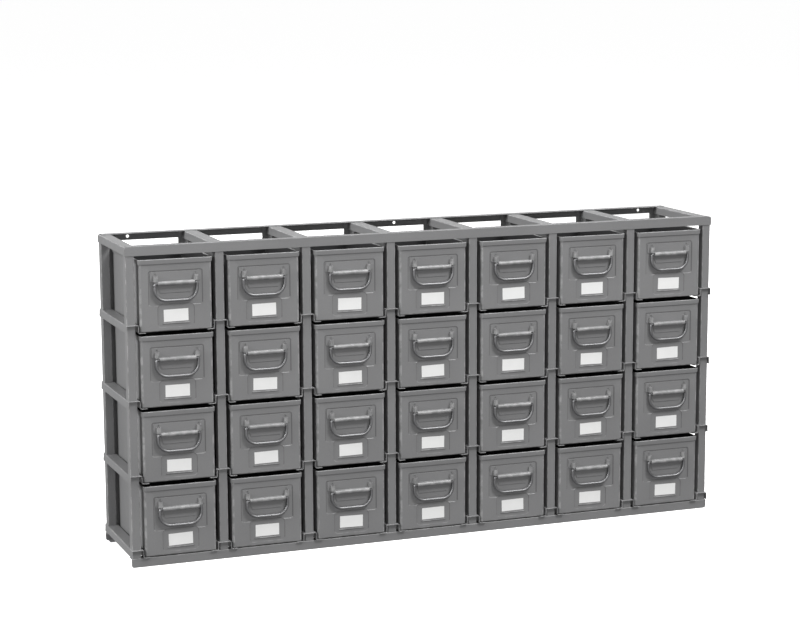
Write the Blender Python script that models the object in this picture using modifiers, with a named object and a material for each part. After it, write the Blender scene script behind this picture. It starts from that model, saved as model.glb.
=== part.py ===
"""Bin storage rack: seven columns by four rows of sheet steel bins in a steel rack.

Metres, +Z up, +X to the right as seen from the front, -Y towards the front.
The origin lies on the floor, under the middle of the whole rack.
Eight ladders of folded channels stand side by side, welded to the rear bottom rail.
Every bin rests on two of their ledges and pulls out forwards, and a wire bail swings
in a strap on its front.
"""

import math

import bmesh
import bpy
from mathutils import Matrix, Vector

# What the rack holds
COLUMNS = 7
ROWS = 4

# Bins
BIN_WIDTH = 0.206
BIN_HEIGHT = 0.2014
BIN_LENGTH = 0.304
BIN_SHEET = 0.0012
RIM_BAND_HEIGHT = 0.013
RIM_OVERHANG = 0.0035
BIN_STANDS_PROUD = 0.004
BIN_BACK_GAP = 0.0092
BIN_SIDE_GAP = 0.0113
BIN_ROW_GAP = 0.0105
BIN_TOP_GAP = 0.0114

# Wire bail, and the strap that holds its top bar on the bin
WIRE_RADIUS = 0.004
BAIL_WIDTH = 0.128
BAIL_DROP = 0.052
BAIL_TOP_BEND = 0.005
BAIL_LOWER_BEND = 0.032
BAIL_AXIS_BELOW_RIM = 0.0674
BAIL_PANEL_GAP = 0.0005
STRAP_HEIGHT = 0.031
STRAP_SHEET = 0.0015
STRAP_END_GAP = 0.0005
WIRE_CLEARANCE = 0.0008

# Label card
CARD_WIDTH = 0.070
CARD_HEIGHT = 0.034
CARD_THICKNESS = 0.0006
CARD_BELOW_RIM = 0.158

# Frame
FRAME_SHEET = 0.0015
UPRIGHT_WIDTH = 0.0254
UPRIGHT_FLANGE = 0.0254
RUNG_HEIGHT = 0.0236
RUNG_SPREAD = 0.0073
END_RUNG_SPREAD = 0.0021
RUNG_STANDS_PROUD = 0.008
LEDGE_UNDER_BIN = 0.015
STOP_BEHIND_BIN = 0.009
RAIL_HEIGHT = 0.026
RAIL_FLANGE = 0.0254
RAIL_CORNER_RADIUS = 0.007
REAR_TOP_RAIL_HEIGHT = 0.022
FIXING_HOLE_RADIUS = 0.0045
FIXING_HOLE_INSET = 0.072

# Pieces that rest on each other stay this far apart, and cutters run this far past the sheet
SEAT_GAP = 0.0003
CUT_OVERRUN = 0.005

# Facets of the bends, holes and wires
RAIL_CORNER_SEGMENTS = 3
KNUCKLE_SEGMENTS = 4
TOP_BEND_SEGMENTS = 1
LOWER_BEND_SEGMENTS = 3
WIRE_BEVEL_RESOLUTION = 1
HOLE_SIDES = 16
SHARP_ANGLE = math.radians(50)

# Plan of the rack
COLUMN_PITCH = BIN_WIDTH + UPRIGHT_WIDTH + 2 * BIN_SIDE_GAP
FRAME_DEPTH = BIN_LENGTH - BIN_STANDS_PROUD + BIN_BACK_GAP
LEDGE_REACH = (COLUMN_PITCH - BIN_WIDTH) / 2 + LEDGE_UNDER_BIN
STOP_REACH = (COLUMN_PITCH - BIN_WIDTH) / 2 + STOP_BEHIND_BIN
RAIL_OUT = FRAME_SHEET + SEAT_GAP
KNUCKLE_BORE = WIRE_RADIUS + WIRE_CLEARANCE
KNUCKLE_RADIUS = KNUCKLE_BORE + STRAP_SHEET
BAIL_AXIS_OUT = WIRE_RADIUS + BAIL_PANEL_GAP
FRONT_REACH = max(BIN_STANDS_PROUD + BAIL_AXIS_OUT + KNUCKLE_RADIUS, RUNG_STANDS_PROUD)
REAR_REACH = max(RUNG_STANDS_PROUD, RAIL_OUT)
FRONT_Y = (FRONT_REACH - REAR_REACH - FRAME_DEPTH) / 2
REAR_Y = FRONT_Y + FRAME_DEPTH
PANEL_Y = FRONT_Y - BIN_STANDS_PROUD
RAIL_HALF_LENGTH = COLUMNS * COLUMN_PITCH / 2 + UPRIGHT_WIDTH / 2 + END_RUNG_SPREAD

# Heights, from the floor up
ROW_PITCH = BIN_HEIGHT + BIN_ROW_GAP
LOWEST_WEB_Z = RAIL_HEIGHT + SEAT_GAP + RUNG_HEIGHT
BIN_FLOOR_BELOW_WEB = RUNG_HEIGHT - FRAME_SHEET - SEAT_GAP
TOP_RIM_Z = LOWEST_WEB_Z - BIN_FLOOR_BELOW_WEB + (ROWS - 1) * ROW_PITCH + BIN_HEIGHT
RACK_HEIGHT = TOP_RIM_Z + BIN_TOP_GAP + RAIL_HEIGHT
TOP_WEB_Z = RACK_HEIGHT - FRAME_SHEET - SEAT_GAP

PAINT = ((0.205, 0.205, 0.205, 1.0), 0.42, 0.1)
BIN_PAINT = ((0.22, 0.22, 0.22, 1.0), 0.38, 0.1)
PLATED_WIRE = ((0.33, 0.33, 0.34, 1.0), 0.25, 0.9)

FRONT, BACK = (0, -1, 0), (0, 1, 0)
DOWN, UP = (0, 0, -1), (0, 0, 1)


def upright_x(index):
    """Middle of an upright, counted from the left end of the rack."""
    return (index - COLUMNS / 2) * COLUMN_PITCH


def column_x(index):
    """Middle of a column of bins, counted from the left end of the rack."""
    return (index - (COLUMNS - 1) / 2) * COLUMN_PITCH


def web_z(level):
    """Top of the rungs' webs, with level 0 under the lowest bins."""
    if level == ROWS:
        return TOP_WEB_Z
    return LOWEST_WEB_Z + level * ROW_PITCH


def holds_bins(index, side):
    """Whether there is a column of bins on this side of a ladder, left -1 or right 1."""
    return 0 <= index + side <= COLUMNS


def rung_reach(index, side):
    """How far a rung spreads from the middle of its ladder: less on the outside of the rack."""
    return UPRIGHT_WIDTH / 2 + (RUNG_SPREAD if holds_bins(index, side) else END_RUNG_SPREAD)


def clear_scene():
    for old in list(bpy.data.objects):
        bpy.data.objects.remove(old, do_unlink=True)


def new_collection(name):
    collection = bpy.data.collections.new(name)
    bpy.context.scene.collection.children.link(collection)
    return collection


def painted(name, look):
    colour, roughness, metallic = look
    material = bpy.data.materials.new(name)
    material.use_nodes = True
    shader = material.node_tree.nodes["Principled BSDF"]
    shader.inputs["Base Color"].default_value = colour
    shader.inputs["Roughness"].default_value = roughness
    shader.inputs["Metallic"].default_value = metallic
    return material


def add_box(bm, low, high, open_sides=()):
    """Add a box between two corners, without the faces on its open sides."""
    low, high = Vector(low), Vector(high)
    size = high - low
    place = Matrix.Translation((low + high) / 2) @ Matrix.Diagonal((*size, 1))
    corners = bmesh.ops.create_cube(bm, size=1, matrix=place)["verts"]
    faces = {face for corner in corners for face in corner.link_faces}
    for face in faces:
        face.normal_update()
    gone = [face for face in faces if any(face.normal.dot(Vector(side)) > 0.9 for side in open_sides)]
    bmesh.ops.delete(bm, geom=gone, context="FACES")
    return [corner for corner in corners if corner.is_valid]


def folded_sheet(bm, name, thickness, collection):
    """Give an open surface its sheet thickness, on the side away from its normals."""
    sheet = object_from(bm, name, collection)
    solidify = sheet.modifiers.new("sheet", "SOLIDIFY")
    solidify.thickness = thickness
    solidify.offset = -1
    solidify.use_even_offset = True
    solidify.use_quality_normals = True
    return sheet


def object_from(bm, name, collection):
    mesh = bpy.data.meshes.new(name)
    bm.to_mesh(mesh)
    bm.free()
    made = bpy.data.objects.new(name, mesh)
    collection.objects.link(made)
    return made


def finished_mesh(source, name):
    """Turn an object with its modifiers, or a curve, into a plain mesh and drop the object."""
    bpy.context.view_layer.update()
    evaluated = source.evaluated_get(bpy.context.evaluated_depsgraph_get())
    mesh = bpy.data.meshes.new_from_object(evaluated)
    mesh.name = name
    mesh.transform(source.matrix_world)
    bm = bmesh.new()
    bm.from_mesh(mesh)
    bmesh.ops.remove_doubles(bm, verts=bm.verts, dist=SEAT_GAP / 10)
    bm.to_mesh(mesh)
    bm.free()
    mesh.shade_smooth()
    mesh.set_sharp_from_angle(angle=SHARP_ANGLE)
    bpy.data.objects.remove(source, do_unlink=True)
    return mesh


def united(mesh, others, name, collection, operation="UNION"):
    """Weld other closed meshes to a mesh, or cut them from it, and give back one mesh."""
    base = bpy.data.objects.new(name, mesh)
    collection.objects.link(base)
    operands = []
    for other in others:
        operand = bpy.data.objects.new(other.name, other)
        collection.objects.link(operand)
        operands.append(operand)
        boolean = base.modifiers.new(other.name, "BOOLEAN")
        boolean.operation = operation
        boolean.object = operand
        boolean.solver = "EXACT"
    done = finished_mesh(base, name)
    for operand in operands:
        bpy.data.objects.remove(operand, do_unlink=True)
    return done


def place_node(name, mesh, material, collection, location, parent):
    node = bpy.data.objects.new(name, mesh)
    collection.objects.link(node)
    node.parent = parent
    node.location = location
    if not mesh.materials:
        mesh.materials.append(material)
    return node


def turn_out(bm, corners, side, reach):
    """Fold the open long edge of one side of a channel outwards, into a flat lip."""
    walls = {face for corner in corners for face in corner.link_faces}
    wall = max(walls, key=lambda face: side * face.normal.x)
    open_edges = [edge for edge in wall.edges if edge.is_boundary]
    fold = max(open_edges, key=lambda edge: edge.calc_length())
    out = bmesh.ops.extrude_edge_only(bm, edges=[fold])["geom"]
    for vertex in (item for item in out if isinstance(item, bmesh.types.BMVert)):
        vertex.co.x += side * reach


# Uprights: plain channels at the front. The rear ones have lips that stop the bins
def make_uprights(collection):
    bm = bmesh.new()
    half = UPRIGHT_WIDTH / 2
    head_z = TOP_WEB_Z - FRAME_SHEET / 2
    for index in range(COLUMNS + 1):
        x = upright_x(index)
        low = (x - half, FRONT_Y, RAIL_HEIGHT + SEAT_GAP)
        high = (x + half, FRONT_Y + UPRIGHT_FLANGE, head_z)
        add_box(bm, low, high, (BACK, UP, DOWN))
        low = (x - half, REAR_Y - UPRIGHT_FLANGE, RAIL_HEIGHT - FRAME_SHEET / 2)
        high = (x + half, REAR_Y - FRAME_SHEET, head_z)
        corners = add_box(bm, low, high, (BACK, UP, DOWN))
        for side in (-1, 1):
            if holds_bins(index, side):
                turn_out(bm, corners, side, STOP_REACH - half)
    return finished_mesh(folded_sheet(bm, "uprights", FRAME_SHEET, collection), "uprights")


# Rungs: top-hat channels from front to back, their ledges under the bins on either side
def make_rungs(collection):
    bm = bmesh.new()
    for index in range(COLUMNS + 1):
        x = upright_x(index)
        left, right = (rung_reach(index, side) for side in (-1, 1))
        for level in range(ROWS + 1):
            top_z = web_z(level)
            stands_proud = -SEAT_GAP if level == ROWS else RUNG_STANDS_PROUD
            low = (x - left, FRONT_Y - stands_proud, top_z - RUNG_HEIGHT + FRAME_SHEET)
            high = (x + right, REAR_Y + stands_proud, top_z)
            corners = add_box(bm, low, high, (DOWN, FRONT, BACK))
            for side in (-1, 1):
                if holds_bins(index, side) and level < ROWS:
                    turn_out(bm, corners, side, LEDGE_REACH - rung_reach(index, side))
    return finished_mesh(folded_sheet(bm, "rungs", FRAME_SHEET, collection), "rungs")


# Rails: a web with rounded corners at its ends, and flanges behind it
def make_rail(name, collection, face_y, inwards, low_z, height, foot_flange):
    """A rail whose face looks away from the rack. The corners away from the uprights are round."""
    half = RAIL_HALF_LENGTH
    top_z = low_z + height
    inner_y = face_y + inwards * FRAME_SHEET
    bm = bmesh.new()
    low_y, high_y = sorted((face_y, inner_y))
    add_box(bm, (-half, low_y, low_z), (half, high_y, top_z))
    round_z = low_z if foot_flange else top_z
    ends = [edge for edge in bm.edges if is_end_corner(edge, round_z)]
    bmesh.ops.bevel(
        bm,
        geom=ends,
        offset=RAIL_CORNER_RADIUS,
        offset_type="OFFSET",
        segments=RAIL_CORNER_SEGMENTS,
        affect="EDGES",
        profile=0.5,
        material=-1,
    )
    web = object_from(bm, name, collection)

    bm = bmesh.new()
    low_y, high_y = sorted((face_y + inwards * FRAME_SHEET / 2, face_y + inwards * RAIL_FLANGE))
    short = half - RAIL_CORNER_RADIUS - FRAME_SHEET
    top_half = half if foot_flange else short
    add_box(bm, (-top_half, low_y, top_z - FRAME_SHEET), (top_half, high_y, top_z))
    if foot_flange:
        add_box(bm, (-short, low_y, low_z), (short, high_y, low_z + FRAME_SHEET))
    flanges = bpy.data.meshes.new("flanges")
    bm.to_mesh(flanges)
    bm.free()
    return united(finished_mesh(web, name), [flanges], name, collection)


def is_end_corner(edge, level_z):
    first, second = (vertex.co for vertex in edge.verts)
    along_y = abs(first.y - second.y) > FRAME_SHEET / 2
    return along_y and abs(first.z - level_z) < SEAT_GAP and abs(second.z - level_z) < SEAT_GAP


def cut_fixing_holes(mesh, name, collection):
    """Three round holes through the web of the rear top rail, for screws into a wall."""
    z = RACK_HEIGHT - REAR_TOP_RAIL_HEIGHT / 2
    reach = upright_x(COLUMNS) - FIXING_HOLE_INSET
    bm = bmesh.new()
    for x in (-reach, 0, reach):
        turn = Matrix.Rotation(math.pi / 2, 4, "X")
        place = Matrix.Translation((x, REAR_Y + RAIL_OUT - FRAME_SHEET / 2, z)) @ turn
        bmesh.ops.create_cone(
            bm,
            cap_ends=True,
            segments=HOLE_SIDES,
            radius1=FIXING_HOLE_RADIUS,
            radius2=FIXING_HOLE_RADIUS,
            depth=FRAME_SHEET + 2 * CUT_OVERRUN,
            matrix=place,
        )
    cutter = bpy.data.meshes.new("fixing_holes")
    bm.to_mesh(cutter)
    bm.free()
    return united(mesh, [cutter], name, collection, "DIFFERENCE")


# Bins: a tub folded from one sheet, with its rim turned out and down
def make_tub(collection):
    inner_half = BIN_WIDTH / 2 - BIN_SHEET
    low = (-inner_half, BIN_SHEET, BIN_SHEET)
    high = (inner_half, BIN_LENGTH - BIN_SHEET, BIN_HEIGHT)
    bm = bmesh.new()
    add_box(bm, low, high, (UP,))
    middle_y = BIN_LENGTH / 2
    rim_out = RIM_OVERHANG + BIN_SHEET
    half_length = high[1] - middle_y
    rim = [edge for edge in bm.edges if edge.is_boundary]
    out = bmesh.ops.extrude_edge_only(bm, edges=rim)["geom"]
    for vertex in (item for item in out if isinstance(item, bmesh.types.BMVert)):
        vertex.co.x *= (inner_half + rim_out) / inner_half
        vertex.co.y = middle_y + (vertex.co.y - middle_y) * (half_length + rim_out) / half_length
    lip = [item for item in out if isinstance(item, bmesh.types.BMEdge)]
    down = bmesh.ops.extrude_edge_only(bm, edges=lip)["geom"]
    for vertex in (item for item in down if isinstance(item, bmesh.types.BMVert)):
        vertex.co.z -= RIM_BAND_HEIGHT
    bmesh.ops.recalc_face_normals(bm, faces=bm.faces)
    floor = min(bm.faces, key=lambda face: face.calc_center_median().z)
    if floor.normal.z < 0:
        bmesh.ops.reverse_faces(bm, faces=bm.faces)
    return finished_mesh(folded_sheet(bm, "tub", BIN_SHEET, collection), "tub")


def arc(centre, radius, start, end, segments):
    """Points of an arc in the plane, angles in degrees from +X."""
    points = []
    for step in range(segments + 1):
        angle = math.radians(start + (end - start) * step / segments)
        points.append((centre[0] + radius * math.cos(angle), centre[1] + radius * math.sin(angle)))
    return points


def outline_curve(name, points, thickness, collection):
    """A closed flat outline, filled and given thickness."""
    curve = bpy.data.curves.new(name, "CURVE")
    curve.dimensions = "2D"
    curve.fill_mode = "BOTH"
    curve.extrude = thickness / 2
    spline = curve.splines.new("POLY")
    spline.points.add(len(points) - 1)
    for point, (x, y) in zip(spline.points, points):
        point.co = (x, y, 0, 1)
    spline.use_cyclic_u = True
    made = bpy.data.objects.new(name, curve)
    collection.objects.link(made)
    return made


# Strap: a flat plate whose lower part is rolled round the bail's top bar
def make_strap(collection):
    bar = (BAIL_AXIS_OUT, 0)
    top = STRAP_HEIGHT - KNUCKLE_RADIUS
    back, face = -BIN_SHEET / 2, STRAP_SHEET
    points = [(back, KNUCKLE_BORE), (back, top), (face, top), (face, KNUCKLE_RADIUS)]
    points += arc(bar, KNUCKLE_RADIUS, 90, -90, KNUCKLE_SEGMENTS)
    points += [(back, -KNUCKLE_RADIUS), (back, -KNUCKLE_BORE)]
    points += arc(bar, KNUCKLE_BORE, -90, 90, KNUCKLE_SEGMENTS)
    straight_bar = BAIL_WIDTH - 2 * WIRE_RADIUS - 2 * BAIL_TOP_BEND
    strap = outline_curve("strap", points, straight_bar - 2 * STRAP_END_GAP, collection)
    facing_front = Matrix(((0, 0, -1), (-1, 0, 0), (0, 1, 0))).to_4x4()
    axis_z = BIN_HEIGHT - BAIL_AXIS_BELOW_RIM
    strap.matrix_world = Matrix.Translation((0, 0, axis_z)) @ facing_front
    return finished_mesh(strap, "strap")


# Card: stuck flat on the front of the bin, under the bail
def make_card():
    middle_z = BIN_HEIGHT - CARD_BELOW_RIM
    bm = bmesh.new()
    low = (-CARD_WIDTH / 2, -CARD_THICKNESS, middle_z - CARD_HEIGHT / 2)
    high = (CARD_WIDTH / 2, BIN_SHEET / 2, middle_z + CARD_HEIGHT / 2)
    add_box(bm, low, high)
    card = bpy.data.meshes.new("card")
    bm.to_mesh(card)
    bm.free()
    return card


# Bail: one ring of round wire, its top bar on the swing axis
def make_bail(collection):
    side = BAIL_WIDTH / 2 - WIRE_RADIUS
    low = WIRE_RADIUS - BAIL_DROP
    top_x, top_z = side - BAIL_TOP_BEND, -BAIL_TOP_BEND
    low_x, low_z = side - BAIL_LOWER_BEND, low + BAIL_LOWER_BEND
    points = arc((top_x, top_z), BAIL_TOP_BEND, 90, 0, TOP_BEND_SEGMENTS)
    points += arc((low_x, low_z), BAIL_LOWER_BEND, 0, -90, LOWER_BEND_SEGMENTS)
    points += arc((-low_x, low_z), BAIL_LOWER_BEND, -90, -180, LOWER_BEND_SEGMENTS)
    points += arc((-top_x, top_z), BAIL_TOP_BEND, 180, 90, TOP_BEND_SEGMENTS)
    curve = bpy.data.curves.new("bail", "CURVE")
    curve.dimensions = "3D"
    curve.bevel_depth = WIRE_RADIUS
    curve.bevel_resolution = WIRE_BEVEL_RESOLUTION
    spline = curve.splines.new("POLY")
    spline.points.add(len(points) - 1)
    for point, (x, z) in zip(spline.points, points):
        point.co = (x, 0, z, 1)
    spline.use_cyclic_u = True
    bail = bpy.data.objects.new("bail", curve)
    collection.objects.link(bail)
    return finished_mesh(bail, "bail")


def main():
    clear_scene()
    rack = new_collection("bin_storage_rack")
    workshop = new_collection("workshop")

    origin = bpy.data.objects.new("rack_origin", None)
    rack.objects.link(origin)

    frame_paint = painted("frame_paint", PAINT)
    rear_low_z = RACK_HEIGHT - REAR_TOP_RAIL_HEIGHT
    front_face_y, rear_face_y = FRONT_Y - RAIL_OUT, REAR_Y + RAIL_OUT
    rails = {
        "front_top_rail": (front_face_y, 1, RACK_HEIGHT - RAIL_HEIGHT, RAIL_HEIGHT, False),
        "rear_top_rail": (rear_face_y, -1, rear_low_z, REAR_TOP_RAIL_HEIGHT, False),
        "front_bottom_rail": (front_face_y, 1, 0, RAIL_HEIGHT, True),
        "rear_bottom_rail": (rear_face_y, -1, 0, RAIL_HEIGHT, True),
    }
    made = {name: make_rail(name, workshop, *sizes) for name, sizes in rails.items()}
    made["rear_top_rail"] = cut_fixing_holes(made["rear_top_rail"], "rear_top_rail", workshop)
    welded = [make_rungs(workshop), made.pop("rear_bottom_rail")]
    made["ladder_frame"] = united(make_uprights(workshop), welded, "ladder_frame", workshop)
    for name, mesh in made.items():
        place_node(name, mesh, frame_paint, rack, (0, 0, 0), origin)

    bin_paint = painted("bin_paint", BIN_PAINT)
    plated_wire = painted("plated_wire", PLATED_WIRE)
    fittings = [make_strap(workshop), make_card()]
    bin_mesh = united(make_tub(workshop), fittings, "bin", workshop)
    bail_mesh = make_bail(workshop)
    bail_seat = (0, -BAIL_AXIS_OUT, BIN_HEIGHT - BAIL_AXIS_BELOW_RIM)
    for row in range(ROWS):
        level = ROWS - 1 - row
        floor_z = web_z(level) - BIN_FLOOR_BELOW_WEB
        for column in range(COLUMNS):
            name = f"bin_row{row + 1}_col{column + 1}"
            place = (column_x(column), PANEL_Y, floor_z)
            tub = place_node(name, bin_mesh, bin_paint, rack, place, origin)
            place_node(name + "_handle", bail_mesh, plated_wire, rack, bail_seat, tub)


main()
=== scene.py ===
"""Looks of the bin storage rack: folded sheet steel, plated wire and blank cards.

Metres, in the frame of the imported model: +Z up, -Y towards the front, the floor at Z 0.
"""

import math

import bmesh
import bpy
from bmesh.types import BMEdge, BMFace, BMVert
from mathutils import Matrix, Vector


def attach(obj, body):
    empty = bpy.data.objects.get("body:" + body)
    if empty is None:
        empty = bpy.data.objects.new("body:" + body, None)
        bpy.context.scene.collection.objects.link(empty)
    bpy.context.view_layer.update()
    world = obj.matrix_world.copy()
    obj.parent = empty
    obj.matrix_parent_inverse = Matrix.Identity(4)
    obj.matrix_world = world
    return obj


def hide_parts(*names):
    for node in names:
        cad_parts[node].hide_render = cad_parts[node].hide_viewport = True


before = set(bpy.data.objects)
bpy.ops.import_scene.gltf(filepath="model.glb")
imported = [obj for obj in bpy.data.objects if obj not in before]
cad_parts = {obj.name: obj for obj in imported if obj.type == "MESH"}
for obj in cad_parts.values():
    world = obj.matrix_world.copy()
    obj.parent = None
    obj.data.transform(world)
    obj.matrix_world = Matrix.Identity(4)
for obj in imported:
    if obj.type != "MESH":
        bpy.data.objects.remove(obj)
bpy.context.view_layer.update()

# Ladders
# Each ladder has a front and a rear upright, folded from 1.5 mm sheet steel, and five rungs
# from front to back that are spot welded to them. All of it is in satin grey enamel.
COLUMNS = 7
ROWS = 4
COLUMN_PITCH = 0.254
ROW_PITCH = 0.2119
FRAME_SHEET = 0.0015
FRAME_BEND = 0.0024
BEND_STEPS = 4
CUT_EDGE = 0.00025
UPRIGHT_HALF_WIDTH = 0.0127
UPRIGHT_DEPTH = 0.0254
UPRIGHT_FOOT_Z = 0.0263
FRONT_Y, REAR_Y = -0.1512, 0.158
STOP_REACH = 0.033
LOWEST_WEB_Z = 0.0499
TOP_WEB_Z = 0.9008
RUNG_HEIGHT = 0.0236
RUNG_SPREAD = 0.0073
END_RUNG_SPREAD = 0.0021
RUNG_TAPER = 0.0009
RUNG_STANDS_PROUD = 0.008
LEDGE_REACH = 0.039
SMOOTH_BELOW = math.radians(35)
EASED_ABOVE = math.radians(60)
BROAD_PANELS_FIRST = 100
MERGE_BELOW = 0.0000125
BEND_STRIP = 0.003
LEFT, RIGHT = Vector((-1, 0, 0)), Vector((1, 0, 0))
FORWARDS, BACKWARDS = Vector((0, -1, 0)), Vector((0, 1, 0))
UP, DOWN = Vector((0, 0, 1)), Vector((0, 0, -1))
ENAMEL_DARK, ENAMEL_LIGHT = (0.150, 0.150, 0.152, 1), (0.178, 0.178, 0.180, 1)
# Bends are painted lighter, partly as rubbed wear and partly as a painted highlight along the
# edges
RUBBED_AND_HIGHLIT_PAINT, RUBBED_AND_HIGHLIT_SHARE = (0.30, 0.30, 0.30, 1), 0.6
# Painted shade: darker paint on the sloping sides of the pressings that don't face upwards
CREASE_SHADE, CREASE_SHADE_SHARE = (0.035, 0.034, 0.033, 1), 0.6
CLOUD_SCALE, SHINE_SCALE, RUB_SCALE, GRAIN_SCALE, PEEL_SCALE = 5, 28, 55, 260, 620
PEEL_DEPTH = 0.00012


class Reading:
    """One output of a node, which adds and multiplies as a number does."""

    def __init__(self, finish, socket):
        self.finish = finish
        self.socket = socket

    def maths(self, operation, first, second):
        return self.finish.node("ShaderNodeMath", {0: first, 1: second}, operation=operation)

    def __add__(self, other):
        return self.maths("ADD", self, other)

    def __radd__(self, other):
        return self.maths("ADD", other, self)

    def __mul__(self, other):
        return self.maths("MULTIPLY", self, other)

    def __rmul__(self, other):
        return self.maths("MULTIPLY", other, self)


class Finish:
    """The material of one kind of surface, with its nodes."""

    def __init__(self, name, **constants):
        self.material = bpy.data.materials.new(name)
        self.material.use_nodes = True
        self.tree = self.material.node_tree
        self.shader = self.tree.nodes["Principled BSDF"]
        for socket, value in constants.items():
            self.shader.inputs[socket.replace("_", " ")].default_value = value
        self.place = self.node("ShaderNodeTexCoord", output="Object")

    def node(self, kind, sockets=None, output=0, stops=(), **settings):
        """Add a node: its settings and ramp stops first, then what goes into its sockets."""
        made = self.tree.nodes.new(kind)
        for name, value in settings.items():
            setattr(made, name, value)
        for element, (position, grey) in zip(made.color_ramp.elements if stops else (), stops):
            element.position = position
            element.color = (grey, grey, grey, 1)
        for name, value in (sockets or {}).items():
            self.connect(made.inputs[name], value)
        return Reading(self, made.outputs[output])

    def connect(self, socket, value):
        if isinstance(value, Reading):
            self.tree.links.new(value.socket, socket)
        else:
            socket.default_value = value

    def stretched(self, scale):
        return self.node("ShaderNodeMapping", {"Vector": self.place, "Scale": scale})

    def noise(self, scale, detail=2, place=None):
        sockets = {"Vector": place or self.place, "Scale": scale, "Detail": detail}
        return self.node("ShaderNodeTexNoise", sockets)

    def ramp(self, value, stops):
        return self.node("ShaderNodeValToRGB", {"Fac": value}, stops=stops)

    def marked(self, attribute):
        """What a piece's own attribute says of each face, such as 1 on a bend."""
        return self.node("ShaderNodeAttribute", output="Fac", attribute_name=attribute)

    def blend(self, share, low, high):
        """A colour between two others, by a share from 0 to 1."""
        return self.node("ShaderNodeMix", {0: share, 6: low, 7: high}, output=2, data_type="RGBA")

    def surface(self, colour, roughness=None, relief=None, depth=0):
        """Lay colour, roughness and relief on the shader. The depth of relief is in metres."""
        self.connect(self.shader.inputs["Base Color"], colour)
        if roughness:
            self.connect(self.shader.inputs["Roughness"], roughness)
        if relief:
            bump = {"Height": relief, "Distance": depth, "Strength": 1.0}
            self.connect(self.shader.inputs["Normal"], self.node("ShaderNodeBump", bump))
        return self.material


def enamel(name, dark, light, roughness, coat, inside=None):
    """Sprayed enamel: a faint mottle and orange peel, bends lighter as wear and painted
    highlight, painted shade in creases.
    """
    finish = Finish(name, Coat_Weight=coat, Coat_Roughness=0.18)
    cloudy = finish.noise(CLOUD_SCALE, detail=3)
    grain = finish.noise(GRAIN_SCALE)
    shine = finish.noise(SHINE_SCALE, detail=3)
    mottle = finish.ramp(0.7 * cloudy + 0.3 * grain, ((0.3, 0), (0.7, 1)))
    colour = finish.blend(mottle, dark, light)
    patchy = finish.ramp(finish.noise(RUB_SCALE, detail=4), ((0.44, 0), (0.62, 1)))
    # Rubbed wear and a painted highlight on the bends, then painted shade on the marked sloping
    # sides
    rubbed_and_highlit = patchy * finish.marked("bend")
    colour = finish.blend(RUBBED_AND_HIGHLIT_SHARE * rubbed_and_highlit, colour, RUBBED_AND_HIGHLIT_PAINT)
    colour = finish.blend(CREASE_SHADE_SHARE * finish.marked("shaded_slope"), colour, CREASE_SHADE)
    # Painted shade: the inner faces are painted near black
    if inside:
        colour = finish.blend(finish.marked("inside"), colour, inside)
    peel = finish.noise(PEEL_SCALE, detail=1)
    gloss = roughness + 0.14 * shine + 0.12 * rubbed_and_highlit
    return finish.surface(colour, gloss, 0.6 * peel + 0.4 * grain, PEEL_DEPTH)


def only(kind, items):
    """The corners, edges or faces among the items that an operator gives back."""
    return [item for item in items if isinstance(item, kind)]


def folded(bm, edges, step):
    """Draw the open edges of a sheet out by one step, and give back the new edges."""
    drawn = bmesh.ops.extrude_edge_only(bm, edges=edges)["geom"]
    bmesh.ops.translate(bm, verts=only(BMVert, drawn), vec=step)
    return only(BMEdge, drawn)


def rounded(bm, edges, radius, steps, affect="EDGES"):
    """Round edges or corners off."""
    bmesh.ops.bevel(
        bm,
        geom=edges,
        offset=radius,
        offset_type="OFFSET",
        segments=steps,
        affect=affect,
        profile=0.5,
        material=-1,
    )


def facing(bm, outwards):
    """Turn the faces of an open sheet so that its broadest part looks outwards."""
    bmesh.ops.recalc_face_normals(bm, faces=bm.faces)
    broadest = max(bm.faces, key=lambda face: abs(face.normal.dot(outwards)) * face.calc_area())
    if broadest.normal.dot(outwards) < 0:
        bmesh.ops.reverse_faces(bm, faces=bm.faces)


def object_of(bm, name):
    """A new object with the mesh that was being built."""
    mesh = bpy.data.meshes.new(name)
    bm.to_mesh(mesh)
    bm.free()
    made = bpy.data.objects.new(name, mesh)
    bpy.context.scene.collection.objects.link(made)
    return made


def baked(piece):
    """Make a piece's modifiers part of its mesh."""
    bpy.context.view_layer.update()
    evaluated = piece.evaluated_get(bpy.context.evaluated_depsgraph_get())
    piece.data = bpy.data.meshes.new_from_object(evaluated)
    piece.modifiers.clear()


def settled(piece):
    """Finish a piece's mesh: bends marked and shaded smooth, panels flat, cut edges sharp."""
    baked(piece)
    bm = bmesh.new()
    bm.from_mesh(piece.data)
    bmesh.ops.remove_doubles(bm, verts=bm.verts, dist=MERGE_BELOW)
    bmesh.ops.dissolve_degenerate(bm, edges=bm.edges, dist=MERGE_BELOW)
    bend = bm.faces.layers.float.get("bend") or bm.faces.layers.float.new("bend")
    for face in bm.faces:
        # A bend is a row of narrow strips
        across = face.calc_area() / max(edge.calc_length() for edge in face.edges)
        face[bend] = float(across < BEND_STRIP)
    bm.to_mesh(piece.data)
    bm.free()
    piece.data.shade_smooth()
    piece.data.set_sharp_from_angle(angle=SMOOTH_BELOW)
    panels = piece.modifiers.new("panels", "WEIGHTED_NORMAL")
    panels.keep_sharp = True
    panels.weight = BROAD_PANELS_FIRST
    baked(piece)
    return piece


def sheet_metal(bm, name, thickness):
    """Give a folded surface its sheet thickness behind its faces, with eased cut edges."""
    piece = object_of(bm, name)
    wall = piece.modifiers.new("wall", "SOLIDIFY")
    wall.thickness = thickness
    wall.offset = -1
    wall.use_even_offset = True
    eased = piece.modifiers.new("eased", "BEVEL")
    eased.width = CUT_EDGE
    eased.segments = 1
    eased.limit_method = "ANGLE"
    eased.angle_limit = EASED_ABOVE
    return settled(piece)


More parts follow.
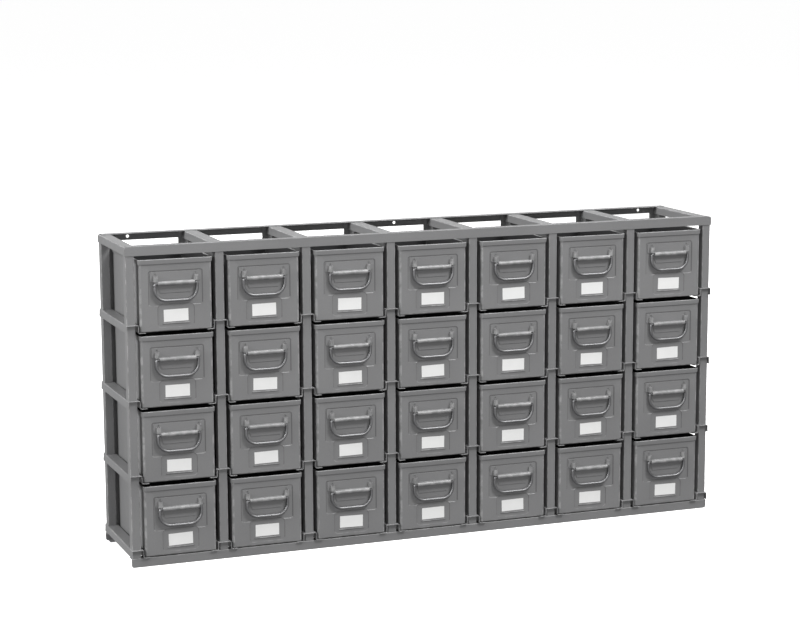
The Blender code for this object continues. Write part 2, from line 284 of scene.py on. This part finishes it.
def folded_channel(name, start, end, steps, outwards):
    """A sheet whose long edge starts between two points, folded step by step across."""
    bm = bmesh.new()
    edges = [bm.edges.new([bm.verts.new(start), bm.verts.new(end)])]
    folds = []
    for step in steps:
        edges = folded(bm, edges, step)
        folds += edges
    rounded(bm, folds[:-1], FRAME_BEND, BEND_STEPS)
    facing(bm, outwards)
    return sheet_metal(bm, name, FRAME_SHEET)


def dressed(piece, finish, body, node):
    """Give a finished piece its material and its body, and hide the CAD node that it stands for.
    """
    piece.data.materials.clear()
    piece.data.materials.append(finish)
    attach(piece, body)
    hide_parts(node)


frame_enamel = enamel("frame_enamel", ENAMEL_DARK, ENAMEL_LIGHT, roughness=0.36, coat=0.15)

for ladder in range(COLUMNS + 1):
    x = (ladder - COLUMNS / 2) * COLUMN_PITCH
    bins_beside = {-1: ladder > 0, 1: ladder < COLUMNS}
    low_left = Vector((x - UPRIGHT_HALF_WIDTH, 0, UPRIGHT_FOOT_Z))
    high_left = Vector((low_left.x, 0, TOP_WEB_Z - FRAME_SHEET))
    across = RIGHT * 2 * UPRIGHT_HALF_WIDTH

    behind = BACKWARDS * (FRONT_Y + UPRIGHT_DEPTH)
    deep = UPRIGHT_DEPTH * FORWARDS
    upright = folded_channel(
        f"ladder{ladder + 1}_front_upright",
        low_left + behind,
        high_left + behind,
        (deep, across, -deep),
        FORWARDS,
    )
    dressed(upright, frame_enamel, "rack", "ladder_frame")

    behind = BACKWARDS * (REAR_Y - FRAME_SHEET)
    deep = (UPRIGHT_DEPTH - FRAME_SHEET) * FORWARDS
    lip = RIGHT * (STOP_REACH - UPRIGHT_HALF_WIDTH)
    steps = [deep, across, -deep]
    if bins_beside[-1]:
        steps.insert(0, lip)
        behind = behind - lip
    if bins_beside[1]:
        steps.append(lip)
    upright = folded_channel(
        f"ladder{ladder + 1}_rear_upright",
        low_left + behind,
        high_left + behind,
        steps,
        FORWARDS,
    )
    dressed(upright, frame_enamel, "rack", "ladder_frame")

    for level in range(ROWS + 1):
        at_top = level == ROWS
        web_z = TOP_WEB_Z if at_top else LOWEST_WEB_Z + level * ROW_PITCH
        proud = 0 if at_top else RUNG_STANDS_PROUD
        reach = {
            side: UPRIGHT_HALF_WIDTH + (RUNG_SPREAD if bins_beside[side] else END_RUNG_SPREAD)
            for side in (-1, 1)
        }
        rise = UP * (RUNG_HEIGHT - FRAME_SHEET)
        taper = RIGHT * RUNG_TAPER
        web = RIGHT * (reach[-1] + reach[1]) - 2 * taper
        steps = [rise + taper, web, taper - rise]
        foot_x = x - reach[-1]
        if bins_beside[-1] and not at_top:
            steps.insert(0, RIGHT * (LEDGE_REACH - reach[-1]))
            foot_x = x - LEDGE_REACH
        if bins_beside[1] and not at_top:
            steps.append(RIGHT * (LEDGE_REACH - reach[1]))
        foot_z = web_z - RUNG_HEIGHT + FRAME_SHEET
        rung = folded_channel(
            f"ladder{ladder + 1}_rung{level + 1}",
            Vector((foot_x, FRONT_Y - proud, foot_z)),
            Vector((foot_x, REAR_Y + proud, foot_z)),
            steps,
            UP,
        )
        dressed(rung, frame_enamel, "rack", "ladder_frame")

# Rails
# Four long rails tie the ladders together at the top and at the foot, in front and behind.
# Each is a web with two rounded corners and a flange folded in over the ladders. The bottom
# rails have a second flange to stand on, and the rear top rail has three screw holes.
RAIL_HALF_LENGTH = 0.9038
RAIL_HEIGHT = 0.026
REAR_TOP_RAIL_HEIGHT = 0.022
RAIL_FLANGE = 0.0254
RAIL_BEND = 0.0022
RAIL_CORNER = 0.0075
RAIL_CORNER_STEPS = 8
RAIL_OUT = 0.0018
RACK_HEIGHT = 0.9026
FIXING_HOLE_RADIUS = 0.0045
FIXING_HOLES_X = (-0.817, 0, 0.817)
HOLE_SIDES = 24
HOLE_DEPTH = 0.012


def panel(bm, centre, width, height, tilt=0):
    """Lay a flat upright panel in the mesh, turned in its own plane by the tilt."""
    place = (
        Matrix.Translation(centre)
        @ Matrix.Rotation(tilt, 4, "Y")
        @ Matrix.Diagonal((width, 1, height, 1))
        @ Matrix.Rotation(math.pi / 2, 4, "X")
    )
    bmesh.ops.create_grid(bm, x_segments=1, y_segments=1, size=0.5, matrix=place)


def rail(name, face_y, outwards, low_z, height, foot_flange=False):
    """A rail with its face in the plane face_y, looking outwards."""
    bm = bmesh.new()
    panel(bm, (0, face_y, low_z + height / 2), 2 * RAIL_HALF_LENGTH, height)
    round_z = low_z if foot_flange else low_z + height
    corners = [corner for corner in bm.verts if abs(corner.co.z - round_z) < CUT_EDGE]
    rounded(bm, corners, RAIL_CORNER, RAIL_CORNER_STEPS, "VERTICES")
    long_edges = [edge for edge in bm.edges if edge.calc_length() > RAIL_HALF_LENGTH]
    folds = [edge for edge in long_edges if foot_flange or edge.verts[0].co.z > low_z + CUT_EDGE]
    folded(bm, folds, -outwards * RAIL_FLANGE)
    rounded(bm, folds, RAIL_BEND, BEND_STEPS)
    facing(bm, outwards)
    return sheet_metal(bm, name, FRAME_SHEET)


def cut_out(piece, cutter, operation="DIFFERENCE"):
    """Cut a closed shape from a piece, or weld it on, and leave the shape out afterwards."""
    tool = piece.modifiers.new(cutter.name, "BOOLEAN")
    tool.operation = operation
    tool.object = cutter
    tool.solver = "EXACT"
    settled(piece)
    bpy.data.objects.remove(cutter, do_unlink=True)


def round_holes(name, centres, radius):
    """Short rods along Y, to cut round holes with."""
    bm = bmesh.new()
    for centre in centres:
        bmesh.ops.create_cone(
            bm,
            cap_ends=True,
            segments=HOLE_SIDES,
            radius1=radius,
            radius2=radius,
            depth=HOLE_DEPTH,
            matrix=Matrix.Translation(centre) @ Matrix.Rotation(math.pi / 2, 4, "X"),
        )
    return object_of(bm, name)


front_face, rear_face = FRONT_Y - RAIL_OUT, REAR_Y + RAIL_OUT
top_low_z = RACK_HEIGHT - RAIL_HEIGHT
rear_top_low_z = RACK_HEIGHT - REAR_TOP_RAIL_HEIGHT
front_top_rail = rail("front_top_beam", front_face, FORWARDS, top_low_z, RAIL_HEIGHT)
dressed(front_top_rail, frame_enamel, "rack", "front_top_rail")
front_bottom_rail = rail(
    "front_bottom_beam", front_face, FORWARDS, 0, RAIL_HEIGHT, foot_flange=True
)
dressed(front_bottom_rail, frame_enamel, "rack", "front_bottom_rail")
rear_bottom_rail = rail(
    "rear_bottom_beam", rear_face, BACKWARDS, 0, RAIL_HEIGHT, foot_flange=True
)
dressed(rear_bottom_rail, frame_enamel, "rack", "ladder_frame")
rear_top_rail = rail("rear_top_beam", rear_face, BACKWARDS, rear_top_low_z, REAR_TOP_RAIL_HEIGHT)
hole_z = RACK_HEIGHT - REAR_TOP_RAIL_HEIGHT / 2
screw_holes = [(hole_x, rear_face, hole_z) for hole_x in FIXING_HOLES_X]
cut_out(rear_top_rail, round_holes("wall_screw_holes", screw_holes, FIXING_HOLE_RADIUS))
dressed(rear_top_rail, frame_enamel, "rack", "rear_top_rail")

# Tubs of the bins
# Each bin is folded from 1.2 mm sheet, with its rim rolled out and down into a stiff band.
# Its front is pressed in behind the handle and, less deeply, round the card, with a small
# bead under the card's foot.
BIN_HALF_WIDTH = 0.103
BIN_HEIGHT = 0.2014
BIN_LENGTH = 0.304
BIN_SHEET = 0.0012
BIN_PANEL_Y = -0.1552
LOWEST_FLOOR_Z = 0.0281
WALL_BEND = 0.005
FLOOR_BEND = 0.003
RIM_OUT = 0.0047
RIM_BAND = 0.013
RIM_TOP_BEND = 0.0019
RIM_INNER_BEND = 0.0018
RIM_HEM = 0.0016
RIM_TUCK = 0.001
HANDLE_RECESS_SIZE, HANDLE_RECESS_BELOW_RIM = (0.155, 0.099), 0.0812
HANDLE_RECESS_DEPTH, HANDLE_RECESS_CORNER = 0.0023, 0.006
CARD_RECESS_SIZE, CARD_RECESS_BELOW_RIM = (0.105, 0.066), 0.1588
CARD_RECESS_DEPTH, CARD_RECESS_CORNER = 0.0014, 0.012
BEAD_SIZE, BEAD_BELOW_RIM, BEAD_HEIGHT = (0.078, 0.0044), 0.1796, 0.0014
BEAD_CORNER = 0.00176
UPWARDS, FLAT = 0.3, 0.95
BIN_DARK, BIN_LIGHT = (0.152, 0.152, 0.154, 1), (0.176, 0.176, 0.178, 1)
# Painted shade for the inner faces of the tubs
BIN_INSIDE_SHADE = (0.022, 0.022, 0.023, 1)

bin_enamel = enamel(
    "bin_enamel", BIN_DARK, BIN_LIGHT, roughness=0.42, coat=0.12, inside=BIN_INSIDE_SHADE
)


def rolled(bm, loop, out, up):
    """Draw the tub's open rim outwards and upwards, square to its rounded plan."""
    core_x = BIN_HALF_WIDTH - BIN_SHEET - WALL_BEND
    core_low_y, core_high_y = BIN_SHEET + WALL_BEND, BIN_LENGTH - BIN_SHEET - WALL_BEND
    drawn = bmesh.ops.extrude_edge_only(bm, edges=loop)["geom"]
    for corner in only(BMVert, drawn):
        core = corner.co.copy()
        core.x = min(max(core.x, -core_x), core_x)
        core.y = min(max(core.y, core_low_y), core_high_y)
        corner.co += (corner.co - core).normalized() * out + UP * up
    return only(BMEdge, drawn)


def folded_tub():
    """The open tub with its rolled rim, its front panel in the plane Y 0."""
    bm = bmesh.new()
    inner_width = 2 * (BIN_HALF_WIDTH - BIN_SHEET)
    inner_size = (inner_width, BIN_LENGTH - 2 * BIN_SHEET, BIN_HEIGHT - BIN_SHEET, 1)
    middle = (0, BIN_LENGTH / 2, (BIN_HEIGHT + BIN_SHEET) / 2)
    place = Matrix.Translation(middle) @ Matrix.Diagonal(inner_size)
    bmesh.ops.create_cube(bm, size=1, matrix=place)
    bm.normal_update()
    lid = [face for face in bm.faces if face.normal.z > FLAT]
    bmesh.ops.delete(bm, geom=lid, context="FACES_ONLY")
    upright_folds = [e for e in bm.edges if abs(e.verts[0].co.z - e.verts[1].co.z) > WALL_BEND]
    rounded(bm, upright_folds, WALL_BEND, BEND_STEPS)
    bm.normal_update()
    floor = min(bm.faces, key=lambda face: face.calc_center_median().z)
    rounded(bm, list(floor.edges), FLOOR_BEND, BEND_STEPS)
    wall_top = [edge for edge in bm.edges if edge.is_boundary]
    band_top = rolled(bm, wall_top, RIM_OUT, 0)
    band_foot = rolled(bm, band_top, -RIM_TUCK, -RIM_BAND)
    rolled(bm, band_foot, -RIM_HEM, 0)
    rounded(bm, wall_top, RIM_INNER_BEND, BEND_STEPS)
    rounded(bm, [edge for edge in band_top if edge.is_valid], RIM_TOP_BEND, BEND_STEPS)
    facing(bm, UP)
    return sheet_metal(bm, "tub", BIN_SHEET)


def pressing(name, size, below_rim, corner, depths):
    """A closed shape with sloping sides, to weld on a front or to cut from it.

    It goes straight from the first depth behind the front to the second, and slopes in
    from there to the third.
    """
    first, second, third = depths
    width, height = size
    centre = Vector((0, first, BIN_HEIGHT - below_rim))
    bm = bmesh.new()
    panel(bm, centre, width, height)
    rounded(bm, list(bm.verts), corner, BEND_STEPS, "VERTICES")
    end = bm.faces[:]
    straight = bmesh.ops.extrude_face_region(bm, geom=end)["geom"]
    bmesh.ops.translate(bm, verts=only(BMVert, straight), vec=BACKWARDS * (second - first))
    inner = only(BMFace, straight)
    sloping = bmesh.ops.extrude_face_region(bm, geom=inner)["geom"]
    moved = only(BMVert, sloping)
    slope = abs(third - second)
    shrink = Matrix.Diagonal((1 - 2 * slope / width, 1, 1 - 2 * slope / height, 1))
    bmesh.ops.transform(bm, matrix=shrink, space=Matrix.Translation(-centre), verts=moved)
    bmesh.ops.translate(bm, verts=moved, vec=BACKWARDS * (third - second))
    bmesh.ops.delete(bm, geom=inner, context="FACES_ONLY")
    bmesh.ops.recalc_face_normals(bm, faces=bm.faces)
    return object_of(bm, name)


def pressed_in(piece, name, size, below_rim, corner, depth):
    """Press a panel of the front in: the sheet bulges inside, and is hollow outside."""
    inside = (BIN_SHEET / 2, BIN_SHEET, BIN_SHEET + depth)
    outside = (-BIN_SHEET / 2, 0, depth)
    cut_out(piece, pressing(name + "_back", size, below_rim, corner, inside), "UNION")
    cut_out(piece, pressing(name, size, below_rim, corner, outside))


def repeated(master, name, place):
    """A copy of a piece, with its place in its mesh."""
    mesh = master.data.copy()
    mesh.transform(place)
    copy = bpy.data.objects.new(name, mesh)
    bpy.context.scene.collection.objects.link(copy)
    return copy


tub = folded_tub()
pressed_in(
    tub,
    "handle_recess",
    HANDLE_RECESS_SIZE,
    HANDLE_RECESS_BELOW_RIM,
    HANDLE_RECESS_CORNER,
    HANDLE_RECESS_DEPTH,
)
pressed_in(
    tub,
    "card_recess",
    CARD_RECESS_SIZE,
    CARD_RECESS_BELOW_RIM,
    CARD_RECESS_CORNER,
    CARD_RECESS_DEPTH,
)
bead_root = CARD_RECESS_DEPTH + BIN_SHEET / 2
bead_depths = (bead_root, CARD_RECESS_DEPTH, CARD_RECESS_DEPTH - BEAD_HEIGHT)
bead = pressing("card_bead", BEAD_SIZE, BEAD_BELOW_RIM, BEAD_CORNER, bead_depths)
cut_out(tub, bead, "UNION")

# The inner faces are marked, to be given a near-black painted shade, for the inside lies in deep
# shade. So are the sloping sides of the pressings that don't face upwards, which get a painted
# shade as dark lines
bm = bmesh.new()
bm.from_mesh(tub.data)
inside = bm.faces.layers.float.new("inside")
shaded_slope = bm.faces.layers.float.new("shaded_slope")
core = Vector((0, BIN_LENGTH / 2, BIN_HEIGHT / 2))
for face in bm.faces:
    middle = face.calc_center_median()
    within = abs(middle.x) < BIN_HALF_WIDTH and 0 < middle.y < BIN_LENGTH
    low = middle.z < BIN_HEIGHT - RIM_INNER_BEND
    face[inside] = float(within and low and face.normal.dot(core - middle) > 0)
    across = abs(middle.x) < HANDLE_RECESS_SIZE[0] / 2 and middle.y < HANDLE_RECESS_DEPTH
    along = 2 * FLOOR_BEND < middle.z < BIN_HEIGHT - RIM_BAND
    sloping = UPWARDS < -face.normal.y < FLAT and face.normal.z < UPWARDS
    face[shaded_slope] = float(across and along and sloping)
bm.to_mesh(tub.data)
bm.free()

bin_places = {}
for row in range(ROWS):
    for column in range(COLUMNS):
        bin_x = (column - (COLUMNS - 1) / 2) * COLUMN_PITCH
        floor_z = LOWEST_FLOOR_Z + (ROWS - 1 - row) * ROW_PITCH
        bin_places[row + 1, column + 1] = Vector((bin_x, BIN_PANEL_Y, floor_z))

for (row, column), place in bin_places.items():
    name = f"bin_row{row}_col{column}"
    one_tub = repeated(tub, name + "_tub", Matrix.Translation(place))
    dressed(one_tub, bin_enamel, f"bin_{row}_{column}", name)
bpy.data.objects.remove(tub, do_unlink=True)

# Straps
# A strap pressed from 1.5 mm sheet is spot welded in the recess of each bin. A half-round
# channel across it holds the top bar of the handle, and turns up at its ends into ears
# that stop the handle when it is level. It is painted with the bin.
STRAP_SHEET = 0.0015
STRAP_SEAT = 0.0001
PLATE_HALF_WIDTH, PLATE_TOP_Z, PLATE_CORNER = 0.0725, 0.032, 0.003
TONGUE_HALF_WIDTH, TONGUE_FOOT_HALF_WIDTH, TONGUE_DROP = 0.0515, 0.0435, 0.027
BAIL_AXIS_OUT = 0.0045
BAIL_AXIS_BELOW_RIM = 0.0674
KNUCKLE_RADIUS = 0.0063
KNUCKLE_HALF_LENGTH = 0.0523
KNUCKLE_STEPS = 14
BENT_STEPS = 10
EAR_X = 0.0575
EAR_ELBOW = 0.0072
EAR_FOOT_Z, EAR_TOP_Z = 0.0046, 0.0218
STRAP_HOLE_RADIUS, STRAP_HOLE_Z = 0.0022, 0.0258
WAY_OUT_SIZE = Vector((0.0575, 0.0252, 0.0189))


def bent(bm, loop, centre, angle):
    """Bend a row of edges on round a centre, and give back its new end."""
    spun = bmesh.ops.spin(
        bm,
        geom=loop,
        cent=centre,
        axis=(0, 1, 0),
        angle=angle,
        steps=BENT_STEPS,
        use_merge=False,
        use_duplicate=False,
    )["geom_last"]
    return only(BMEdge, spun)


# The plate, and its tongue below the handle's bar. The bar's axis is at Y 0, Z 0
bm = bmesh.new()
plate_y = BAIL_AXIS_OUT + HANDLE_RECESS_DEPTH - STRAP_SHEET - STRAP_SEAT
ends = [bm.verts.new((side * PLATE_HALF_WIDTH, plate_y, PLATE_TOP_Z)) for side in (-1, 1)]
folded(bm, [bm.edges.new(ends)], DOWN * (PLATE_TOP_Z - EAR_FOOT_Z))
rounded(bm, list(bm.verts), PLATE_CORNER, BEND_STEPS, "VERTICES")
ends = [bm.verts.new((side * TONGUE_HALF_WIDTH, plate_y, EAR_FOOT_Z)) for side in (-1, 1)]
waist = folded(bm, [bm.edges.new(ends)], DOWN * (EAR_FOOT_Z + KNUCKLE_RADIUS))
foot = folded(bm, waist, DOWN * (TONGUE_DROP - KNUCKLE_RADIUS))
for corner in foot[0].verts:
    corner.co.x *= TONGUE_FOOT_HALF_WIDTH / TONGUE_HALF_WIDTH
bm.normal_update()
bmesh.ops.reverse_faces(bm, faces=[face for face in bm.faces if face.normal.y > 0])
strap = sheet_metal(bm, "strap", STRAP_SHEET)

# The channel with its ears, swept as one half ring with walls back to the plate
bm = bmesh.new()
start = bm.verts.new((-EAR_X - KNUCKLE_RADIUS, 0, EAR_TOP_Z))
bmesh.ops.spin(
    bm,
    geom=[start],
    cent=(-EAR_X, 0, EAR_TOP_Z),
    axis=(0, 0, 1),
    angle=math.pi,
    steps=KNUCKLE_STEPS,
    use_merge=False,
    use_duplicate=False,
)
half_ring = bm.edges[:]
loop = folded(bm, half_ring, DOWN * (EAR_TOP_Z - EAR_ELBOW))
loop = bent(bm, loop, (EAR_ELBOW - EAR_X, 0, EAR_ELBOW), -math.pi / 2)
loop = folded(bm, loop, RIGHT * 2 * (EAR_X - EAR_ELBOW))
loop = bent(bm, loop, (EAR_X - EAR_ELBOW, 0, EAR_ELBOW), -math.pi / 2)
folded(bm, loop, UP * (EAR_TOP_Z - EAR_ELBOW))
bmesh.ops.remove_doubles(bm, verts=bm.verts, dist=MERGE_BELOW)
outer = [edge for edge in bm.edges if edge.is_boundary]
outline = [edge for edge in outer if max(abs(end.co.y) for end in edge.verts) < CUT_EDGE]
folded(bm, outline, BACKWARDS * (plate_y + STRAP_SHEET / 2))
facing(bm, FORWARDS)
channel = sheet_metal(bm, "channel", STRAP_SHEET)

# The ways out for the handle's sides under the ears, and a hole above each ear
bm = bmesh.new()
for side in (-1, 1):
    middle_x = KNUCKLE_HALF_LENGTH + WAY_OUT_SIZE.x / 2
    middle = (side * middle_x, 0, EAR_FOOT_Z - WAY_OUT_SIZE.z / 2)
    place = Matrix.Translation(middle) @ Matrix.Diagonal(WAY_OUT_SIZE).to_4x4()
    bmesh.ops.create_cube(bm, size=1, matrix=place)
cut_out(channel, object_of(bm, "ways_out"))
cut_out(strap, channel, "UNION")
over_ears = [(side * EAR_X, plate_y, STRAP_HOLE_Z) for side in (-1, 1)]
cut_out(strap, round_holes("strap_holes", over_ears, STRAP_HOLE_RADIUS))

axis_seat = Vector((0, -BAIL_AXIS_OUT, BIN_HEIGHT - BAIL_AXIS_BELOW_RIM))
for (row, column), place in bin_places.items():
    name = f"bin_row{row}_col{column}"
    one_strap = repeated(strap, name + "_strap", Matrix.Translation(place + axis_seat))
    dressed(one_strap, bin_enamel, f"bin_{row}_{column}", name)
bpy.data.objects.remove(strap, do_unlink=True)

# Handles
# Each handle is one ring of 8 mm steel wire, zinc plated, bent to a D and butt welded
# inside its strap, where it turns.
WIRE_RADIUS = 0.004
WIRE_SIDES = 20
BAIL_HALF_WIDTH = 0.064
BAIL_DROP = 0.052
BAIL_TOP_BEND = 0.0055
BAIL_LOWER_BEND = 0.032
ZINC_DARK, ZINC_LIGHT = (0.17, 0.17, 0.175, 1), (0.26, 0.26, 0.265, 1)
ZINC_PATCH_SCALE, SCRATCH_SCALE = 60, 300
SCRATCH_DEPTH = 0.00003


def plated_steel():
    """Zinc on drawn wire, gone dull: fine scratches, and patches of lighter, duller grey."""
    finish = Finish("plated_steel", Metallic=1.0)
    patches = finish.noise(ZINC_PATCH_SCALE, detail=3)
    scratches = finish.noise(SCRATCH_SCALE, place=finish.stretched((1, 4, 4)))
    colour = finish.blend(patches, ZINC_DARK, ZINC_LIGHT)
    return finish.surface(colour, 0.40 + 0.2 * patches, scratches, SCRATCH_DEPTH)


bm = bmesh.new()
bmesh.ops.create_circle(
    bm,
    cap_ends=False,
    segments=WIRE_SIDES,
    radius=WIRE_RADIUS,
    matrix=Matrix.Rotation(math.pi / 2, 4, "Y"),
)
loop = bm.edges[:]
side_x = BAIL_HALF_WIDTH - WIRE_RADIUS
foot_z = WIRE_RADIUS - BAIL_DROP
loop = folded(bm, loop, RIGHT * (side_x - BAIL_TOP_BEND))
loop = bent(bm, loop, (side_x - BAIL_TOP_BEND, 0, -BAIL_TOP_BEND), math.pi / 2)
loop = folded(bm, loop, DOWN * (-foot_z - BAIL_TOP_BEND - BAIL_LOWER_BEND))
loop = bent(bm, loop, (side_x - BAIL_LOWER_BEND, 0, foot_z + BAIL_LOWER_BEND), math.pi / 2)
loop = folded(bm, loop, LEFT * 2 * (side_x - BAIL_LOWER_BEND))
loop = bent(bm, loop, (BAIL_LOWER_BEND - side_x, 0, foot_z + BAIL_LOWER_BEND), math.pi / 2)
loop = folded(bm, loop, UP * (-foot_z - BAIL_TOP_BEND - BAIL_LOWER_BEND))
loop = bent(bm, loop, (BAIL_TOP_BEND - side_x, 0, -BAIL_TOP_BEND), math.pi / 2)
folded(bm, loop, RIGHT * (side_x - BAIL_TOP_BEND))
bmesh.ops.remove_doubles(bm, verts=bm.verts, dist=MERGE_BELOW)
bmesh.ops.recalc_face_normals(bm, faces=bm.faces)
bail = settled(object_of(bm, "bail"))

zinc_wire = plated_steel()
for (row, column), place in bin_places.items():
    name = f"bin_row{row}_col{column}"
    one_bail = repeated(bail, name + "_bail", Matrix.Translation(place + axis_seat))
    dressed(one_bail, zinc_wire, f"bin_{row}_{column}_bail", name + "_handle")
bpy.data.objects.remove(bail, do_unlink=True)

# Cards
# A blank white paper card is stuck in the lower recess of each bin. It is put on by hand
# and so never quite level.
CARD_SIZE = (0.070, 0.034)
CARD_THICKNESS = 0.0005
CARD_BELOW_RIM = 0.158
CARD_CORNER, CARD_CORNER_STEPS = 0.0008, 2
CARD_TILT = math.radians(1.1)
TILT_BY_ROW, TILT_BY_COLUMN = 2.3, 1.7
CARD_DARK, CARD_LIGHT = (0.66, 0.66, 0.655, 1), (0.72, 0.72, 0.715, 1)
CARD_PATCH_SCALE, FIBRE_SCALE = 30, 900
FIBRE_DEPTH = 0.00003


def card_paper():
    """White card: faint fibres, and a very slight yellowing in patches."""
    finish = Finish("card_paper")
    patches = finish.noise(CARD_PATCH_SCALE, detail=3)
    fibres = finish.noise(FIBRE_SCALE, detail=3)
    colour = finish.blend(patches, CARD_DARK, CARD_LIGHT)
    return finish.surface(colour, 0.62 + 0.14 * fibres, fibres, FIBRE_DEPTH)


white_card = card_paper()
for (row, column), place in bin_places.items():
    name = f"bin_row{row}_col{column}"
    tilt = CARD_TILT * math.sin(TILT_BY_ROW * row + TILT_BY_COLUMN * column)
    bm = bmesh.new()
    seat = place + Vector((0, CARD_RECESS_DEPTH, BIN_HEIGHT - CARD_BELOW_RIM))
    panel(bm, seat + FORWARDS * CARD_THICKNESS, *CARD_SIZE, tilt)
    rounded(bm, list(bm.verts), CARD_CORNER, CARD_CORNER_STEPS, "VERTICES")
    facing(bm, FORWARDS)
    card = sheet_metal(bm, name + "_card", CARD_THICKNESS - CUT_EDGE / 2)
    dressed(card, white_card, f"bin_{row}_{column}", name)

# Floor, light and view
# A pale floor without a horizon, bright enough to read as a white sweep. The key light is
# high in front on the right, with large soft lights in front, on the left, overhead and behind.
FLOOR_SIZE = 400
FLOOR_BELOW = 0.0004
FLOOR_DARK, FLOOR_LIGHT = (0.86, 0.86, 0.86, 1), (0.88, 0.88, 0.88, 1)
FLOOR_GLOW = 0.7
SPECKLE_SCALE = 3
SKY_LIGHT = 0.33
AIM = Vector((0, 0, 0.45))


def soft_light(name, direction, distance, size, strength):
    """A square light that gives the object the strength wanted, whatever its distance."""
    lamp = bpy.data.lights.new(name, "AREA")
    lamp.shape = "SQUARE"
    lamp.size = size
    lamp.energy = strength * (math.pi * distance) ** 2
    made = bpy.data.objects.new(name, lamp)
    bpy.context.scene.collection.objects.link(made)
    made.location = AIM + Vector(direction).normalized() * distance
    made.rotation_euler = (AIM - made.location).to_track_quat("-Z", "Y").to_euler()
    return made


floor_finish = Finish("pale_floor", Roughness=0.9, Emission_Color=(1, 1, 1, 1))
floor_finish.shader.inputs["Emission Strength"].default_value = FLOOR_GLOW
speckle = floor_finish.noise(SPECKLE_SCALE)
floor_colour = floor_finish.blend(speckle, FLOOR_DARK, FLOOR_LIGHT)
bm = bmesh.new()
down = Matrix.Translation((0, 0, -FLOOR_BELOW))
bmesh.ops.create_grid(bm, x_segments=1, y_segments=1, size=FLOOR_SIZE / 2, matrix=down)
floor = object_of(bm, "floor")
floor.data.materials.append(floor_finish.surface(floor_colour))

# The floor throws no light on the rack and doesn't show in its gloss
floor.visible_diffuse = False
floor.visible_glossy = False

sky = bpy.data.worlds.new("studio")
sky.use_nodes = True
sky.node_tree.nodes["Background"].inputs["Color"].default_value = (1, 1, 1, 1)
sky.node_tree.nodes["Background"].inputs["Strength"].default_value = SKY_LIGHT
bpy.context.scene.world = sky
bpy.context.scene.view_settings.view_transform = "Standard"

soft_light("key_light", (0.37, -0.53, 0.77), distance=7, size=1.6, strength=0.86)
soft_light("front_light", (-0.15, -1, 0.1), distance=7, size=3.5, strength=0.28)
soft_light("left_light", (-0.9, -0.08, 0.42), distance=7, size=3.0, strength=1.08)
soft_light("top_light", (0, -0.1, 1), distance=5, size=3.0, strength=0.95)
back_light = soft_light("back_light", (0.45, 0.85, 0.4), distance=7, size=3.0, strength=0.5)

# Seen so low from behind, it would turn the gloss of the top faces white
back_light.visible_glossy = False

# The camera stands and looks as the photograph's did
EYE = (-2.301, -5.902, 1.695)
YAW, PITCH, ROLL = math.radians(20.94), math.radians(9.63), math.radians(-0.23)
FOCAL_PIXELS, PHOTO_WIDTH = 2177, 800
lens = bpy.data.cameras.new("photo_view")
lens.lens = lens.sensor_width * FOCAL_PIXELS / PHOTO_WIDTH
camera = bpy.data.objects.new("photo_view", lens)
bpy.context.scene.collection.objects.link(camera)
camera.matrix_world = (
    Matrix.Translation(EYE)
    @ Matrix.Rotation(-YAW, 4, "Z")
    @ Matrix.Rotation(math.pi / 2 - PITCH, 4, "X")
    @ Matrix.Rotation(ROLL, 4, "Z")
)
bpy.context.scene.camera = camera
